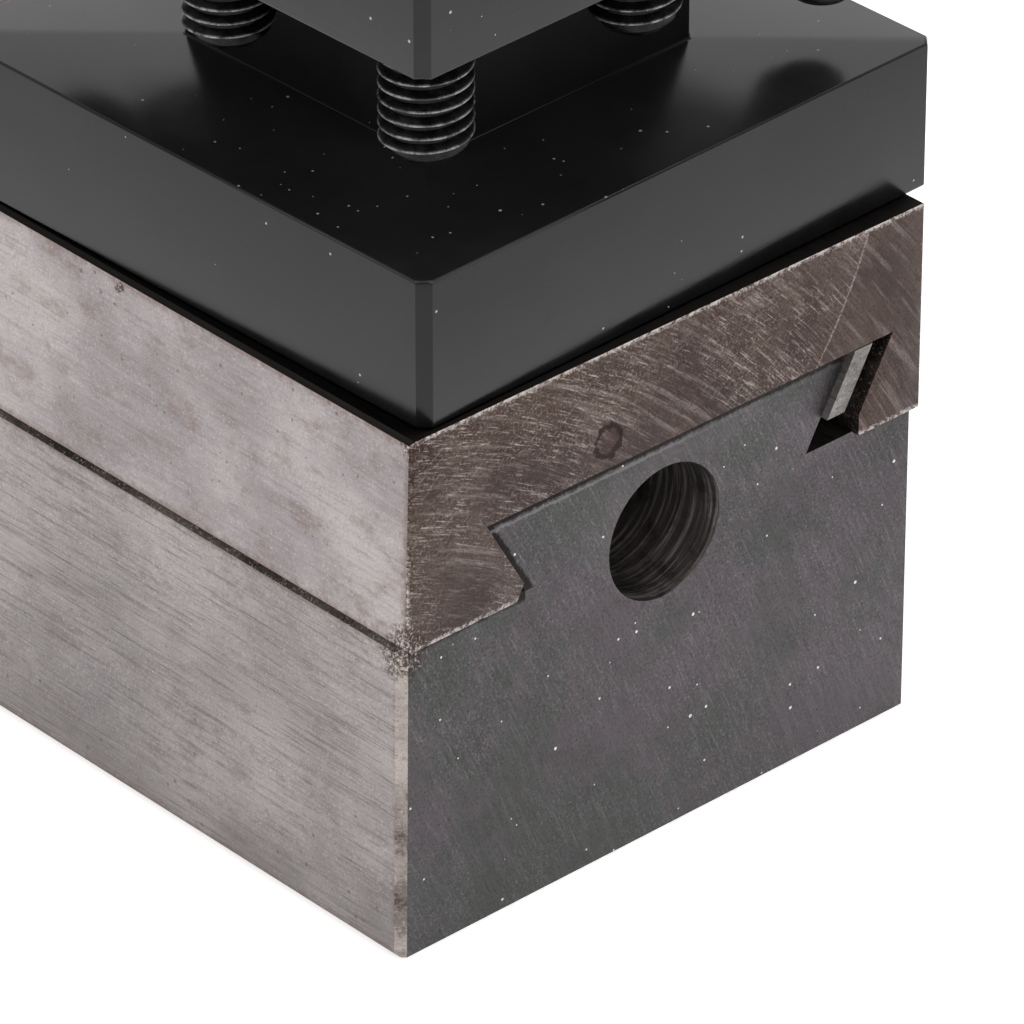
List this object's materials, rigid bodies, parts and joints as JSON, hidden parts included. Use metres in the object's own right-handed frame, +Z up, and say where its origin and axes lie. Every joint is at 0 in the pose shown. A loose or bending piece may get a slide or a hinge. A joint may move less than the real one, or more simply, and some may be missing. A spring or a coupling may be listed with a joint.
{
  "type": "four-way tool post on dovetail top slide",
  "caption": "Square four-way lathe tool post with tool clamping screws and a clamp lever, on a dovetail top slide wound by a handwheel along its base.",
  "frame": {"origin": "on the base's underside, under the tool post's turning axis", "axes": "+Z up along the tool post's stud, +X towards the working end along the dovetail, away from the handwheel, +Y the gib side"},
  "size_m": [0.2096, 0.0772, 0.1722],
  "materials": {
    "ground_iron": "ground and milled, bare",
    "black_oxide": "black oxide, satin",
    "black_screw": "black oxide, semi-gloss",
    "bright_steel": "turned bright",
    "satin_chrome": "satin",
    "bronze": "machined bearing bronze",
    "black_plastic": "moulded, glossy"
  },
  "bodies": {
    "base": {"base_block": "ground_iron", "feed_nut": "bronze", "feed_nut_screw": "black_screw"},
    "slide": {"top_slide": "ground_iron", "gib_strip": "bright_steel", "gib_screws": "black_screw", "gib_lock_nuts": "black_screw", "end_bracket": "ground_iron", "bracket_screws": "black_screw", "bracket_bush": "bronze", "turret_stud": "bright_steel"},
    "slide_lock": {"lock_screw": "black_screw"},
    "handwheel": {"feed_screw": "bright_steel", "thrust_washer_front": "bronze", "thrust_washer_rear": "bronze", "handwheel_key": "bright_steel", "handwheel": "satin_chrome", "handwheel_washer": "bright_steel", "handwheel_nut": "satin_chrome", "handle_pin": "bright_steel", "dial_spring": "bright_steel"},
    "dial": {"dial_ring": "satin_chrome"},
    "handle": {"handle_grip": "black_plastic"},
    "post": {"turret_block": "black_oxide"},
    "lever": {"clamp_washer": "bright_steel", "lever_hub": "satin_chrome", "lever_arm": "satin_chrome", "lever_knob": "black_plastic"},
    "tool_screw_1": {"tool_screw_1": "black_screw"},
    "tool_screw_2": {"tool_screw_2": "black_screw"},
    "tool_screw_3": {"tool_screw_3": "black_screw"},
    "tool_screw_4": {"tool_screw_4": "black_screw"},
    "tool_screw_5": {"tool_screw_5": "black_screw"},
    "tool_screw_6": {"tool_screw_6": "black_screw"},
    "tool_screw_7": {"tool_screw_7": "black_screw"},
    "tool_screw_8": {"tool_screw_8": "black_screw"}
  },
  "joints": [
    {"name": "slide_travel", "type": "slide", "parent": "base", "child": "slide", "axis": [1, 0, 0], "range_m": [-0.015, 0.04]},
    {"name": "feed_screw_spin", "type": "hinge", "parent": "slide", "child": "handwheel", "pos_m": [-0.1008, -0.0015, 0.03015], "axis": [1, 0, 0], "range_deg": [-3601, 9601]},
    {"name": "dial_turn", "type": "hinge", "parent": "handwheel", "child": "dial", "pos_m": [-0.129, -0.0015, 0.03015], "axis": [1, 0, 0], "continuous": true},
    {"name": "handle_spin", "type": "hinge", "parent": "handwheel", "child": "handle", "pos_m": [-0.159, 0.00775, 0.04617], "axis": [1, 0, 0], "continuous": true},
    {"name": "slide_lock_turn", "type": "slide", "parent": "slide", "child": "slide_lock", "axis": [0, 1, 0], "range_m": [0, 0.0015]},
    {"name": "post_turn", "type": "hinge", "parent": "slide", "child": "post", "pos_m": [0, 0, 0.0514], "axis": [0, 0, 1], "continuous": true},
    {"name": "lever_turn", "type": "hinge", "parent": "slide", "child": "lever", "pos_m": [0, 0, 0.098], "axis": [0, 0, 1], "range_deg": [-90, 30]},
    {"name": "tool_screw_1_travel", "type": "slide", "parent": "post", "child": "tool_screw_1", "axis": [0, 0, 1], "range_m": [-0.0066, 0.0105]},
    {"name": "tool_screw_2_travel", "type": "slide", "parent": "post", "child": "tool_screw_2", "axis": [0, 0, 1], "range_m": [-0.0079, 0.0092]},
    {"name": "tool_screw_3_travel", "type": "slide", "parent": "post", "child": "tool_screw_3", "axis": [0, 0, 1], "range_m": [-0.0095, 0.0076]},
    {"name": "tool_screw_4_travel", "type": "slide", "parent": "post", "child": "tool_screw_4", "axis": [0, 0, 1], "range_m": [-0.004, 0.0131]},
    {"name": "tool_screw_5_travel", "type": "slide", "parent": "post", "child": "tool_screw_5", "axis": [0, 0, 1], "range_m": [-0.0095, 0.0076]},
    {"name": "tool_screw_6_travel", "type": "slide", "parent": "post", "child": "tool_screw_6", "axis": [0, 0, 1], "range_m": [-0.0105, 0.0066]},
    {"name": "tool_screw_7_travel", "type": "slide", "parent": "post", "child": "tool_screw_7", "axis": [0, 0, 1], "range_m": [-0.0085, 0.0086]},
    {"name": "tool_screw_8_travel", "type": "slide", "parent": "post", "child": "tool_screw_8", "axis": [0, 0, 1], "range_m": [-0.0095, 0.0076]}
  ],
  "couplings": [
    {"joint": "feed_screw_spin", "follows": "slide_travel", "rad_per_m": 4188.8}
  ]
}
